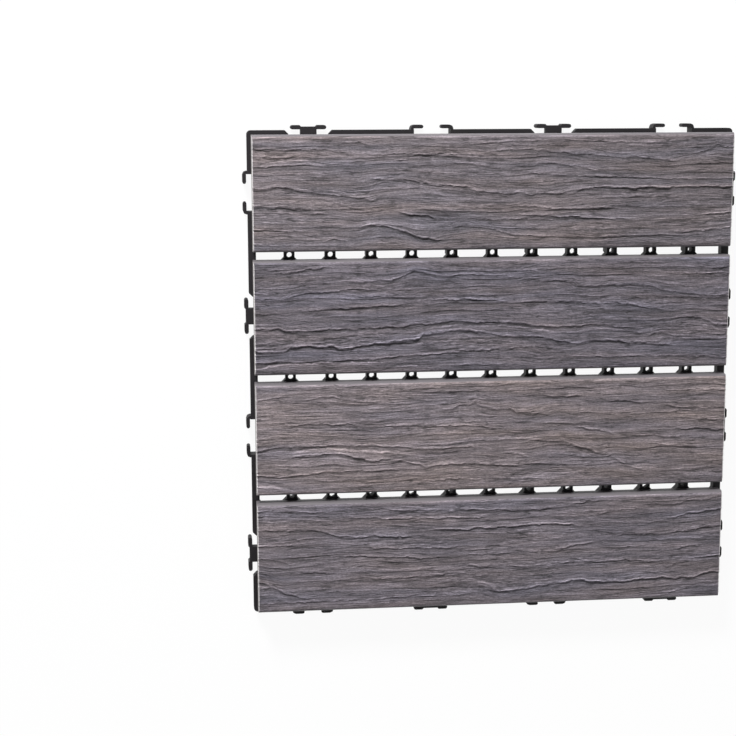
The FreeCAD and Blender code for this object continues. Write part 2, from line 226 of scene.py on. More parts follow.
# Each lip is the ragged edge of one split layer in the embossing: its height in mm, the width of
# its face in mm, how high its rim stands up and how strong the painted highlight on it is (0 to 1),
# then points along it in mm from the slat's middle. A layer lies on the +Y side of its lip, or on
# the -Y side for a height below 0.
drawnLips = {
    "slat_1": [
        (0.42, 1.3, 0.5, [(-83, 9), (-60, 8.2), (-50, 7.5), (-42, 5.4), (-17, 3.4), (-12, 1), (5, 0),
            (20, -0.6), (35, -1.4), (45, -2), (50, -1)]),
        (0.6, 1.7, 0.55, [(44, -0.6), (49, 0.6), (53, 2.1), (60, 2.4), (100, 2.2), (147, 2.5)]),
        (0.3, 1.2, 0.4, [(-84, 22.8), (-50, 23.6), (-25, 23), (0, 22.5), (23, 22.6), (27, 24.6),
            (40, 23.5), (60, 22.4), (90, 19.8), (118, 17.5)]),
        (0.3, 1.4, 0.5, [(-148, 16.4), (-115, 17), (-108, 16), (-100, 16.8), (-88, 18.6), (-84, 21)]),
        (0.35, 1.3, 0.4, [(-148, -8), (-128, -8.4), (-120, -10), (-105, -11.6), (-96, -12.4)]),
        (0.42, 2.2, 0.3, [(-148, 3.6), (-138, 3.2), (-133, 4.4), (-124, 3.6), (-118, 1.8), (-100, -0.4),
            (-88, -2.6), (-80, -2.6), (-76, -4.6), (-68, -6.2)]),
        (0.5, 1.2, 0.5, [(-63, -10.2), (-52, -12.6), (-40, -14.6), (-33, -18)]),
        (0.45, 1.6, 0.7, [(-86, -19), (-70, -18.6), (-62, -21.4), (-55, -23), (-50, -25.6), (-45, -27.6),
            (-24, -28.2)]),
        (0.3, 1.4, 0.3, [(-30, -19), (-14, -20), (0, -23), (12, -25.6), (30, -27), (64, -28.2),
            (70, -26.4), (88, -27.2)]),
        (0.28, 1.0, 0.5, [(-23, -16.2), (10, -16.5), (42, -17)]),
        (0.38, 1.2, 0.7, [(8, -12.6), (30, -14.4), (60, -16), (92, -18)]),
        (0.4, 1.1, 0.8, [(8, -7), (18, -9), (30, -9.6), (65, -10.4), (80, -10.6)]),
        (0.38, 1.3, 0.6, [(12, 12.6), (25, 11), (40, 10), (60, 9.4), (80, 8.6), (95, 8), (115, 7),
            (147, 7.6)]),
        (0.3, 1.4, 0.4, [(-30, 18.6), (-8, 16.4), (0, 15), (12, 13.8)]),
        (0.3, 1.2, 0.5, [(20, 18.2), (35, 16.6), (48, 15.4), (60, 13.5), (86, 12.5)]),
        (0.34, 1.4, 0.4, [(-147, -20.6), (-125, -22), (-119, -21.8), (-105, -24)]),
        (0.3, 1.6, 0.8, [(-106, -28.4), (-98, -26.6), (-88, -29)]),
        (0.4, 1.6, 0.5, [(104, -25.4), (130, -24.6), (140, -23.4), (147, -22)]),
        (0.3, 1.0, 0.5, [(126, -14.6), (140, -14), (147, -13)]),
        (0.3, 1.2, 0.6, [(122, 22), (130, 24.4), (137, 28), (141, 26), (147, 26.6)]),
        (0.36, 1.5, 0.4, [(-147, 27), (-120, 26), (-110, 27), (-96, 25), (-90, 23.4), (-84, 22)]),
        (0.28, 1.2, 0.7, [(-100, 30.5), (-84, 30), (-72, 27.6)]),
        (0.3, 1.6, 0.8, [(-12, 22), (-4, 24.6), (12, 25.6), (30, 24.8)]),
        (0.26, 1.3, 0.4, [(-20, 29), (30, 31), (60, 30), (110, 29)]),
        (0.26, 1.4, 0.4, [(-146, -30), (-110, -31), (-80, -33)]),
    ],
    "slat_2": [
        (0.45, 1.5, 0.4, [(-147, -6.2), (-131, -6), (-128, -8.2), (-120, -7.5), (-100, -7), (-75, -6.5),
            (-60, -5.8), (-45, -4.4), (-30, -3.6), (-10, -4.2), (10, -5), (25, -6), (40, -7.6), (52, -8),
            (60, -6.4), (75, -8), (96, -9.2)]),
        (0.55, 2.6, 1.0, [(-145, -20), (-130, -20.4), (-125, -16.8), (-100, -16.8), (-96, -19),
            (-80, -17.2), (-62, -15), (-47, -13.6), (-45, -11), (-30, -9.6), (-20, -8.4), (-8, -9.2),
            (0, -11.6)]),
        (0.45, 1.8, 0.5, [(-12, -9.4), (0, -11.8), (10, -12.8), (25, -14), (40, -16.5), (50, -18),
            (62, -16.6), (80, -17.6), (95, -19), (118, -21)]),
        (0.42, 1.6, 0.5, [(-147, -26.6), (-100, -26), (-75, -25.6), (-50, -23.6), (-25, -22), (0, -21),
            (26, -19.6)]),
        (-0.4, 1.2, 0.9, [(-147, -30.6), (-130, -28), (-100, -27.3), (-72, -28.6), (-68, -31)]),
        (-0.4, 1.2, 0.9, [(-66, -30.8), (-52, -30.2), (-40, -31.6), (-32, -33.4)]),
        (0.5, 1.4, 0.4, [(-125, 4.4), (-110, 5), (-90, 6), (-70, 7), (-50, 6.6)]),
        (0.42, 1.4, 0.6, [(-49, 7.6), (-46, 10.8), (-36, 10), (-25, 10), (-10, 9.8), (11, 9)]),
        (0.42, 1.4, 0.5, [(12, 7.6), (30, 7.6), (45, 8), (60, 6.5), (75, 6.7), (90, 4.4), (105, 1.6),
            (118, 0.6)]),
        (0.38, 1.3, 0.5, [(-147, 12.4), (-130, 12), (-125, 13.6), (-115, 15.4), (-105, 16), (-85, 17),
            (-68, 16.8)]),
        (0.38, 1.7, 0.6, [(-131, 27.2), (-124, 29), (-110, 30.4), (-97, 33)]),
        (0.45, 1.9, 0.5, [(-97, 22), (-80, 22.5), (-65, 23), (-57, 25.4), (-50, 27.6), (-40, 26.4),
            (-30, 24)]),
        (0.4, 1.8, 0.4, [(-36, 22.6), (-26, 25.2), (-15, 26), (-5, 25), (5, 24), (17, 23.8)]),
        (0.42, 2.0, 0.4, [(13, 22.4), (35, 21), (48, 20), (52, 17.6), (66, 17.6), (72, 18.6), (76, 18),
            (83, 18), (95, 17), (105, 14.5), (115, 12.6), (130, 10.6), (147, 10)]),
        (0.3, 1.3, 0.4, [(-148, 3.4), (-140, 2.8), (-128, 3.2)]),
        (0.3, 1.3, 0.4, [(66, 31), (90, 31.6), (105, 31.2), (115, 33)]),
        (0.38, 1.4, 0.5, [(112, 26.4), (120, 24), (130, 23.4), (147, 23.4)]),
        (0.42, 1.6, 0.5, [(108, -4), (118, -3.2), (126, -3.4), (133, -5), (142, -8), (147, -8.6)]),
        (0.4, 1.8, 0.6, [(90, -16), (96, -14), (105, -12.6), (113, -14.6), (128, -15.4)]),
        (0.34, 1.3, 0.4, [(134, 4.2), (147, 3.2)]),
        (0.3, 1.4, 0.4, [(-28, -30.4), (0, -31), (30, -32), (50, -31), (75, -32.4), (104, -31)]),
        (-0.3, 1.2, 0.9, [(-44, -7), (-20, -6.2), (15, -7.8), (32, -10.4), (45, -13)]),
        (0.3, 1.6, 0.4, [(-90, 12), (-60, 13), (-52, 12)]),
        (0.3, 1.4, 0.4, [(40, -26), (75, -27.4), (110, -26.6), (147, -29)]),
    ],
    "slat_3": [
        (0.5, 2.2, 0.8, [(-135, -11.6), (-120, -10), (-105, -8.6), (-95, -9.6), (-88, -12), (-75, -13.5),
            (-60, -14)]),
        (0.48, 1.8, 0.6, [(-66, -13.8), (-50, -15.6), (-42, -18.6), (-35, -18.2), (-25, -17), (-5, -17.5),
            (5, -19), (27, -21)]),
        (0.42, 1.5, 0.4, [(-147, -7), (-135, -4.8), (-110, -3.6), (-85, -4.6), (-65, -5.2), (-50, -7),
            (-35, -8), (-15, -6.5), (-3, -8)]),
        (-0.3, 1.2, 1.0, [(-130, -8.4), (-115, -6.4), (-100, -6.2), (-80, -8), (-60, -9.6), (-48, -12)]),
        (0.42, 1.4, 0.5, [(-137, 8.4), (-133, 10.4), (-128, 8.8), (-108, 9.6), (-90, 9.2), (-79, 9)]),
        (0.42, 1.5, 0.4, [(-75, 7.6), (-60, 8), (-45, 7), (-20, 6.6), (-8, 6.4), (-2, 4.5), (11, 3)]),
        (0.38, 1.4, 0.5, [(-147, 24.6), (-140, 26.4), (-128, 27.6)]),
        (0.4, 1.8, 0.5, [(-121, 22), (-112, 26), (-100, 26.6), (-92, 24), (-68, 23.4)]),
        (0.38, 2.2, 0.3, [(-42, 17.4), (-25, 18), (-22, 20), (-15, 19), (-12, 20.6), (-7, 18), (5, 16),
            (10, 17), (14, 14), (30, 12.6), (41, 11.4)]),
        (0.5, 1.3, 0.6, [(29, 24.6), (45, 23.6), (58, 23)]),
        (0.45, 1.3, 0.5, [(67, 20.2), (85, 19.5), (99, 18.5)]),
        (0.36, 1.4, 0.5, [(101, 16.9), (120, 15), (147, 13.6)]),
        (0.5, 1.3, 0.6, [(49, 5.2), (58, 3), (70, 1), (76, -1.5), (81, -2.6)]),
        (0.46, 1.8, 0.5, [(15, -3), (35, -4), (45, -5.5), (55, -9), (62, -11.5), (67, -13.4), (76, -15)]),
        (0.42, 1.8, 0.5, [(72, -14), (79, -18), (83, -20.4), (90, -23.4), (98, -26)]),
        (0.4, 1.3, 0.5, [(124, 7.6), (147, 5.6)]),
        (0.34, 1.3, 0.4, [(84, -1.5), (110, -3), (126, -4)]),
        (0.42, 1.7, 0.5, [(-147, -22), (-135, -23), (-115, -21.5), (-105, -20.5), (-85, -20.5),
            (-58, -20)]),
        (-0.4, 1.2, 0.9, [(-147, -28.6), (-135, -30), (-128, -31.5), (-121, -33.6)]),
        (0.3, 1.2, 0.4, [(134, -12), (147, -12.6)]),
        (0.42, 1.2, 0.5, [(110, 3), (122, 1.2), (135, 0.6), (147, 0)]),
        (0.3, 1.3, 0.4, [(-56, 30.6), (-20, 31), (0, 31), (22, 32.6)]),
        (0.3, 1.4, 0.4, [(18, -18.6), (45, -20), (56, -24.4)]),
        (0.32, 2.0, 0.4, [(4, -12.4), (15, -11.6), (23, -15)]),
        (0.3, 1.3, 0.4, [(48, 12), (62, 13.4), (82, 10.4)]),
        (0.28, 1.3, 0.4, [(95, -8), (120, -9.4), (132, -11)]),
        (0.28, 1.4, 0.3, [(-90, -28), (-50, -27), (10, -27.6), (40, -29)]),
        (0.3, 1.3, 0.4, [(110, 26), (147, 25.6)]),
        (-0.3, 1.2, 0.7, [(-10, -3), (10, -1.6), (30, -2.4)]),
    ],
    "slat_4": [
        (0.42, 1.5, 0.4, [(-147, 19.4), (-130, 18), (-110, 17), (-100, 14.5), (-90, 13), (-72, 13),
            (-50, 11.8), (-46, 13)]),
        (0.6, 1.6, 0.8, [(-46, 13.4), (-42, 16), (-20, 15.6), (0, 16), (20, 17), (50, 16.8), (58, 15),
            (62, 13.8)]),
        (0.46, 1.8, 0.4, [(-147, 0.6), (-138, -0.4), (-130, -3), (-124, -5.2)]),
        (0.5, 1.2, 0.6, [(-101, 2.2), (-95, 0.6), (-70, -0.5), (-60, -1.5), (-45, -2), (-27, -3)]),
        (0.42, 1.2, 0.5, [(-86, 6.6), (-72, 5), (-45, 4), (-18, 4)]),
        (0.46, 2.0, 0.5, [(-147, -13.4), (-138, -17.6), (-130, -22), (-124, -24.6), (-112, -27.4)]),
        (0.38, 1.4, 0.4, [(-83, -12.4), (-75, -14.4), (-50, -14.6), (-32, -14), (-28, -12.6),
            (-17, -12.4)]),
        (0.36, 1.7, 0.4, [(-147, -28.8), (-110, -28.4), (-75, -28), (-45, -26), (-30, -27.4),
            (-8, -26.4)]),
        (0.6, 2.0, 0.7, [(-10, -24.4), (5, -25.6), (20, -24.6), (35, -22.6), (42, -21), (58, -20),
            (62, -21.4), (85, -22), (92, -20.6), (110, -20.4), (130, -20.6), (135, -18.6), (147, -17.8)]),
        (0.42, 1.4, 0.5, [(36, -0.2), (48, 2), (60, 3.5), (70, 5.4)]),
        (0.4, 1.4, 0.4, [(68, 6.4), (90, 8.6), (110, 8.2), (125, 10.6), (147, 12.4)]),
        (0.36, 1.2, 0.5, [(82, 0), (101, 1.8)]),
        (0.5, 1.3, 0.6, [(36, -9.4), (48, -8), (70, -8.4), (90, -8), (108, -9.2), (116, -8.4)]),
        (0.4, 1.3, 0.6, [(117, -3), (122, -1), (136, -1)]),
        (0.44, 1.3, 0.6, [(128, -7.8), (147, -6.4)]),
        (0.46, 1.4, 0.7, [(107, 17), (115, 19.4), (125, 21), (147, 23.4)]),
        (0.42, 1.5, 0.5, [(-76, 32), (-65, 29.6), (-50, 28), (-20, 27.4), (20, 27), (48, 27)]),
        (0.38, 1.5, 0.6, [(47, 27.4), (50, 29.6), (60, 31), (80, 31.4)]),
        (0.36, 1.3, 0.5, [(-96, 26.4), (-85, 25), (-70, 24), (-30, 23), (2, 23)]),
        (0.34, 1.2, 0.5, [(8, -10), (27, -10.8)]),
        (0.32, 1.4, 0.4, [(-22, -1), (0, -1), (22, 0.4)]),
        (0.36, 2.2, 0.5, [(-26, -6), (-8, -9), (2, -8)]),
        (-0.36, 1.6, 0.8, [(-16, -17), (-6, -20), (6, -22.6)]),
        (0.4, 1.5, 0.8, [(100, -33.4), (110, -31.6), (120, -29.6), (130, -26.6)]),
        (0.34, 1.4, 0.5, [(58, 22.4), (75, 24.2), (98, 24.8)]),
        (0.34, 1.4, 0.5, [(108, 27), (125, 29), (147, 31.4)]),
        (0.34, 1.4, 0.5, [(-147, 9), (-132, 8.4), (-118, 8.2)]),
        (0.32, 1.6, 0.4, [(-128, -8), (-112, -9.6), (-92, -9.8)]),
        (0.3, 1.5, 0.4, [(-146, 31), (-120, 30), (-96, 27.6)]),
    ],
}


# Sizes in mm. A noise is given by its patch along and across the grain, and may add its number of
# octaves and how strong each one is beside the one before.
emboss = {
    "drawnDepth": 1.42,      # how strongly the drawn lips stand out
    "layerDepth": 0.98,      # and the random layers between them
    "fibreDepth": 0.17,
    "waveDepth": 0.16,
    "slatEnd": 144,          # a lip that starts or ends beyond this runs off the slat
    "longestRunOut": 14.0,   # where it doesn't, it dies out over this length,
    "runOutShare": 0.3,      # or over this share of itself
    "strength": 0.82,        # a lip's mean strength,
    "patches": ((0.3, 9), (0.3, 2.4)),   # and how much it changes over which length
    "faceShare": 0.66,       # the same for the width of its face
    "facePatches": (0.4, 7),
    "ragged": ((0.36, 4.2, 2), (0.26, 1.4, 1)),   # a lip's waver: up and down, along, octaves
    "jogHeight": 0.36,       # one step of its jogs,
    "jogSteps": 2.2,         # how many steps at most,
    "jogLength": 8,          # and how far apart
    "layerShare": 0.5,       # height of the layer behind a lip, as a share of the lip's own height,
    "rimShare": 0.3,         # of the rim on top of it,
    "footShare": 0.62,       # and of its foot below the ground
    "fallReach": 4.0,        # the layer falls away behind the lip over this,
    "rimReach": 0.9,         # its rim over this,
    "footReach": 2.2,        # and the ground comes back at the foot over this
    "faceCurve": 0.8,
    "rimMiddle": 0.25,       # the painted highlight on the rim lies this far behind the lip,
    "rimWidth": 0.42,        # this wide
    "bendReach": 4.0,        # how far a lip bends the grain beside it,
    "bendRunOut": 26,        # and over which length at its ends
    "bendShare": 0.6,
    "straightShare": 0.3,
    "flow": ((2.0, 70, 40), (0.5, 20, 7)),        # the grain's own sway: up and down, then the noise
    "jog": ((0.34, 5, 15, 6, 1), (0.26, 4.2, 2.6)),   # its steps, sharpened 5 times, and its waver
    "coarse": {"spacing": 5.4, "reach": 28, "sway": 1.6, "swayNoise": (110, 9, 1)},
    "thin": {"spacing": 2.3, "reach": 17, "sway": 0.8, "swayNoise": (60, 5, 1)},
    "layerChance": (0.3, 0.9),   # random values from which and to which a layer's lip grows
    "layerLip": 0.55,        # a random layer's height over the level face,
    "layerFoot": 0.45,       # how deep the next one's foot lies under it,
    "layerFace": 0.16,       # the part of a spacing that its face takes,
    "layerFall": 0.45,       # and that it falls away over
    "coarseShare": 0.42,
    "thinShare": 0.16,
    "thinShareCrumbled": 0.1,
    "crumbled": (34, 8),
    "fibres": (15, 0.9, 2, 0.6),
    "fine": (5.5, 0.55, 2, 0.7),
    "fineShare": 0.6,
    "fineShareCrumbled": 0.9,
    "grit": (2.2, 1.3, 2, 0.7),
    "gritShareCrumbled": 1.6,
    "waves": (60, 8, 2),
}


def diesOut(x, start, end, before, reach):
    # 1 along a lip, with an S curve down to 0 over the reach at each end that lies on the slat
    atStart = smoothStep(start - before, start + reach, x) if start > -emboss["slatEnd"] else 1.0
    atEnd = 1 - smoothStep(end - reach, end + before, x) if end < emboss["slatEnd"] else 1.0
    return atStart * atEnd


def lipShape(d, face, rim):
    # height across a lip, as a share of its own, at the distance d behind it: the layer falls away
    # as exp(-d / fallReach) with a thin rim on top, its face drops over the face width, and past
    # the foot the ground comes back as exp(-distance to the foot / footReach)
    behind = np.clip(d, 0, None)
    layer = emboss["layerShare"] * np.exp(-behind / emboss["fallReach"])
    layer = layer + emboss["rimShare"] * rim * np.exp(-behind / emboss["rimReach"])
    crest = emboss["layerShare"] + emboss["rimShare"] * rim
    foot = -emboss["footShare"] * np.exp(np.clip(d + face, None, 0) / emboss["footReach"])
    drop = smoothStep(0.0, 1.0, -d / face) ** emboss["faceCurve"]
    onFace = crest + (-emboss["footShare"] - crest) * drop
    return np.where(d >= 0, layer, np.where(d > -face, onFace, foot))


def lipRelief(rng, x, y, lips):
    # the sum of all lips. Besides the heights it gives the rims, and how far each spot is bent off a
    # straight grain: the mean of the near lips' own bends, weighted by exp(-distance / bendReach)
    total = np.zeros((len(y), len(x)))
    rims, bend, weight = total.copy(), total.copy(), total + emboss["straightShare"]
    for height, width, rim, points in lips:
        pathX, pathY = np.array(points, float).T
        start, end = pathX[0], pathX[-1]
        smoothLine = np.interp(x, pathX, pathY)
        line = smoothLine
        for size, step, octaves in emboss["ragged"]:
            line = line + size * lineNoise(rng, x, step, octaves)
        jogs = np.round(emboss["jogSteps"] * lineNoise(rng, x, emboss["jogLength"]))
        line = line + emboss["jogHeight"] * jogs
        runOut = min(emboss["longestRunOut"], emboss["runOutShare"] * (end - start))
        patchy = emboss["strength"]
        for size, step in emboss["patches"]:
            patchy = patchy + size * lineNoise(rng, x, step)
        strength = (diesOut(x, start, end, 1, runOut) * patchy)[None, :]
        size, step = emboss["facePatches"]
        face = (width * (emboss["faceShare"] + size * lineNoise(rng, x, step)))[None, :]
        d = (y[:, None] - line[None, :]) * np.sign(height)
        total += abs(height) * strength * lipShape(d, face, rim)
        # where the lip's raised rim gets a painted highlight
        rims += rim * strength * np.exp(-((d - emboss["rimMiddle"]) / emboss["rimWidth"]) ** 2)
        fade = np.broadcast_to(diesOut(x, start, end, 0, emboss["bendRunOut"]), x.shape)[None, :]
        near = emboss["bendShare"] * np.exp(-np.abs(d) / emboss["bendReach"]) * fade
        bend += near * (pathY.mean() - smoothLine)[None, :]
        weight += near
    return total, rims, bend / weight


def layerRelief(rng, wide, tall, spacing, reach):
    # bands of thin layers, one to each spacing: a short lip, then a slow fall to the next one's foot.
    # How far a layer stands out changes along it, from one random value each reach to the next
    lifted = tall / spacing
    row = np.floor(lifted)
    part = lifted - row
    row = (row - row.min()).astype(int)
    chance = rng.random((row.max() + 2, int((wide.max() - wide.min()) / reach) + 3))
    along = (wide - wide.min()) / reach
    cell = np.floor(along).astype(int)
    s = along - cell
    s = s * s * (3 - 2 * s)
    own = chance[row, cell] * (1 - s) + chance[row, cell + 1] * s
    above = chance[row + 1, cell] * (1 - s) + chance[row + 1, cell + 1] * s
    own, above = smoothStep(*emboss["layerChance"], own), smoothStep(*emboss["layerChance"], above)
    face, foot = emboss["layerFace"], emboss["layerFoot"]
    fall = emboss["layerLip"] * np.exp(-np.clip(part - face, 0, None) / emboss["layerFall"])
    lip = own * np.where(part < face, smoothStep(0, face, part) - foot, fall)
    return lip - foot * above * smoothStep(0.5, 1.0, part) ** 1.5


def swayingLayers(rng, wide, tall, grain, layers):
    sway = layers["sway"] * valueNoise(rng, wide, tall, *layers["swayNoise"])
    return layerRelief(rng, wide, grain + sway, layers["spacing"], layers["reach"])


def woodRelief(seed, x, y, lips):
    # the drawn lips, two sets of weaker random layers between them that follow their bends,
    # crumbled patches, and fibres along the layers
    rng = np.random.default_rng(seed)
    wide, tall = np.broadcast_arrays(x[None, :], y[:, None])
    drawn, rims, bend = lipRelief(rng, x, y, lips)
    flow = 0
    for size, long, across in emboss["flow"]:
        flow = flow + size * valueNoise(rng, wide, tall, long, across)
    (stepSize, sharpness, *stepNoise), (waverSize, *waverNoise) = emboss["jog"]
    jog = stepSize * np.tanh(sharpness * valueNoise(rng, wide, tall, *stepNoise))
    jog = jog + waverSize * valueNoise(rng, wide, tall, *waverNoise)
    grain = tall + bend + flow + jog
    coarse = swayingLayers(rng, wide, tall, grain, emboss["coarse"])
    thin = swayingLayers(rng, wide, tall, grain, emboss["thin"])
    crumbled = smoothStep(0.0, 0.5, valueNoise(rng, wide, tall, *emboss["crumbled"]))
    fibres = valueNoise(rng, wide, grain, *emboss["fibres"])
    fine = valueNoise(rng, wide, grain, *emboss["fine"])
    grit = valueNoise(rng, wide, tall, *emboss["grit"])
    waves = valueNoise(rng, wide, grain, *emboss["waves"])
    thinShare = emboss["thinShare"] + emboss["thinShareCrumbled"] * crumbled
    layers = emboss["coarseShare"] * coarse + thinShare * thin
    fineShare = emboss["fineShare"] + emboss["fineShareCrumbled"] * crumbled
    threads = fibres + fineShare * fine + emboss["gritShareCrumbled"] * grit * crumbled
    height = emboss["drawnDepth"] * drawn + emboss["layerDepth"] * layers
    height = height + emboss["fibreDepth"] * threads + emboss["waveDepth"] * waves
    return height, rims, grain - jog


def blurred(field, reaches):
    # Gaussian blur, one axis at a time, with the edge rows repeated
    for axis, reach in enumerate(reaches):
        steps = np.arange(-3 * reach, 3 * reach + 1)
        weights = np.exp(-0.5 * (steps / reach) ** 2)
        weights /= weights.sum()
        pad = [(0, 0), (0, 0)]
        pad[axis] = (3 * reach, 3 * reach)
        padded = np.pad(field, pad, mode="edge")
        size = field.shape[axis]
        total = 0
        for k, weight in enumerate(weights):
            total = total + weight * np.take(padded, np.arange(k, k + size), axis=axis)
        field = total
    return field


slats = {
    "pointsLong": 330,
    "pointsWide": 250,
    "edgeRound": 2.6,        # mm, as the next sizes
    "endRound": 0.6,
    "footBevel": 0.7,
    "sideRing": 4.0,         # one more ring of points above the bevel
    "settle": (-0.6, 2.2),   # distances from a long edge between which the relief settles
    "settleDrop": 0.05,      # how far below the mean relief it settles
    "roundAngles": (18, 36, 54, 72, 90),
    "sharpFrom": 50,         # degrees
    "hollowReach": (6, 2),   # blur in grid points across and along, against which hollows are told
    "highlitEdgeRings": 2,        # of the rounded edge, which get a painted highlight,
    "edgePaintedHighlight": 0.6,          # and how strong that painted highlight is, 0 to 1
    # the seed of a slat's noise, its base, warm and cool colour, the strength of its painted shade under
    # the lips and painted light on their crests, and how much its painted light falloff makes it
    # paler at -X and darker at +X
    "each": {
        "slat_1": (11, "#746d71", "#7f706d", "#6b6a78", 1.0, 0.12),
        "slat_2": (23, "#6c666e", "#746867", "#646473", 1.0, 0.02),
        "slat_3": (37, "#7f7679", "#897973", "#75717e", 0.74, 0.09),
        "slat_4": (53, "#756e75", "#7d706e", "#6d6c7a", 0.84, 0.02),
    },
}


def slatFace(name, seed, x, y):
    # the walking face: heights below the slat's top, which settle to an even level at the long edges,
    # then what is painted from them: how far a spot lies above the blurred face round it, for painted
    # shade and light, the rims of the lips, for a painted highlight, and where the grain runs
    relief, rims, grain = woodRelief(seed, x, y, drawnLips[name])
    edge = np.minimum(y - y[0], y[-1] - y)[:, None]
    settle = smoothStep(*slats["settle"], edge)
    relief = relief * settle + (relief.mean() - slats["settleDrop"]) * (1 - settle)
    relief = relief - relief.max()
    return relief, relief - blurred(relief, slats["hollowReach"]), rims * settle, grain


def outward(values, line):
    # -1 where a border point lies at the line's start, 1 at its end, 0 between
    return np.where(values >= line[-1] - 1e-6, 1.0, 0.0) - np.where(values <= line[0] + 1e-6, 1.0, 0.0)


def ringsDown(border, outX, outY, foot):
    # rings of points from the face's border down: out by the round's radius * sin(angle) and down by
    # radius * (1 - cos(angle)), then straight down, and in by the bevel at the foot
    edgeRound, endRound, bevel = slats["edgeRound"], slats["endRound"], slats["footBevel"]
    down = np.where(np.abs(outY) > 0, edgeRound, endRound)
    rings = []
    for angle in np.radians(slats["roundAngles"]):
        ring = border.copy()
        ring[:, 0] += outX * endRound * np.sin(angle)
        ring[:, 1] += outY * edgeRound * np.sin(angle)
        ring[:, 2] -= down * (1 - np.cos(angle))
        rings.append(ring)
    side = foot + bevel + slats["sideRing"]
    lowest = rings[-1]
    for height, inset in ((side, 0.0), (foot + bevel, 0.0), (foot, bevel)):
        ring = lowest.copy()
        ring[:, 1] -= outY * inset
        ring[:, 2] = height
        rings.append(ring)
    return rings


def meshOf(title, points, quads, triangles, kinds):
    mesh = bpy.data.meshes.new(title)
    mesh.vertices.add(len(points))
    mesh.vertices.foreach_set("co", points.astype(np.float32).ravel())
    corners = np.concatenate([quads.ravel(), triangles.ravel()])
    mesh.loops.add(len(corners))
    mesh.loops.foreach_set("vertex_index", corners.astype(np.int32))
    sizes = np.concatenate([np.full(len(quads), 4), np.full(len(triangles), 3)])
    mesh.polygons.add(len(sizes))
    mesh.polygons.foreach_set("loop_start", (np.cumsum(sizes) - sizes).astype(np.int32))
    mesh.polygons.foreach_set("material_index", kinds.astype(np.int32))
    mesh.update(calc_edges=True)
    mesh.validate()
    mesh.shade_smooth()
    mesh.set_sharp_from_angle(angle=np.radians(slats["sharpFrom"]))
    return mesh


def makeSlat(name, seed, materials):
    # the face is z(x, y) on a grid. Its border goes on as rings down the sides, and the last ring is
    # closed to a point in the middle underneath
    low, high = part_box(name)
    middleY = (low.y + high.y) / 2 / mm
    halfX, halfY = (high.x - low.x) / 2 / mm, (high.y - low.y) / 2 / mm
    top, foot = high.z / mm, low.z / mm
    nx, ny = slats["pointsLong"], slats["pointsWide"]
    x = np.linspace(-halfX + slats["endRound"], halfX - slats["endRound"], nx)
    y = np.linspace(-halfY + slats["edgeRound"], halfY - slats["edgeRound"], ny)
    relief, hollow, rims, grain = slatFace(name, seed, x, y)
    wide, tall = np.broadcast_arrays(x[None, :], y[:, None])
    face = np.stack([wide, tall, top + relief], -1).reshape(-1, 3)

    index = np.arange(nx * ny).reshape(ny, nx)
    loop = np.concatenate([index[0, :-1], index[:-1, -1], index[-1, :0:-1], index[:0:-1, 0]])
    border = face[loop]
    outX, outY = outward(border[:, 0], x), outward(border[:, 1], y)
    rings = ringsDown(border, outX, outY, foot)
    points = np.concatenate([face] + rings + [np.array([[0.0, 0.0, foot]])])
    straight = (points[:, 1] + middleY) * mm
    points[:, 1] += middleY
    points *= mm

    # three materials: 0 embossed, 1 plain sides and underside, 2 sawn ends
    n = len(loop)
    onGrid, onRings = nx * ny, n * len(rings)
    faceQuads = np.stack([index[:-1, :-1], index[:-1, 1:], index[1:, 1:], index[1:, :-1]], -1)
    faceQuads = faceQuads.reshape(-1, 4)
    lines = np.concatenate([loop, onGrid + np.arange(onRings)]).reshape(-1, n)
    after = np.roll(lines, -1, axis=1)
    sideQuads = np.stack([lines[:-1], lines[1:], after[1:], after[:-1]], -1).reshape(-1, 4)
    triangles = np.stack([lines[-1], np.full(n, len(points) - 1), after[-1]], -1)
    onEnd = (np.abs(outX) > 0) & (np.abs(np.roll(outX, -1)) > 0) & (outX == np.roll(outX, -1))
    upper = np.arange(len(rings))[:, None] < slats["highlitEdgeRings"]
    sideKinds = np.where(onEnd[None, :], 2, np.where(upper, 0, 1)).ravel()
    kinds = np.concatenate([np.zeros(len(faceQuads), int), sideKinds, np.ones(n, int)])
    mesh = meshOf(name + "_embossed", points, np.concatenate([faceQuads, sideQuads]), triangles, kinds)

    # painted values: the upper rings get a painted highlight, and all rings carry on the grain's bends
    below = np.zeros(onRings + 1)
    paintedEdgeHighlight = below.copy()
    paintedEdgeHighlight[:slats["highlitEdgeRings"] * n] = slats["edgePaintedHighlight"]
    grainUp = straight.copy()
    grainUp[:onGrid] = ((grain + middleY) * mm).ravel()
    grainUp[onGrid:-1] += np.tile(grainUp[loop] - straight[loop], len(rings))
    painted = (("hollow", np.concatenate([hollow.ravel(), below])),
               ("rim", np.concatenate([rims.ravel(), paintedEdgeHighlight])), ("grainUp", grainUp))
    for title, values in painted:
        mesh.attributes.new(title, "FLOAT", "POINT").data.foreach_set("value", values.astype(np.float32))
    for material in materials:
        mesh.materials.append(material)
    piece = placeInScene(name + "_embossed", mesh)
    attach(piece, "root")
    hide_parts(name)
    print(name, "made,", len(kinds), "faces, relief", round(float(relief.min()), 2), "mm deep")


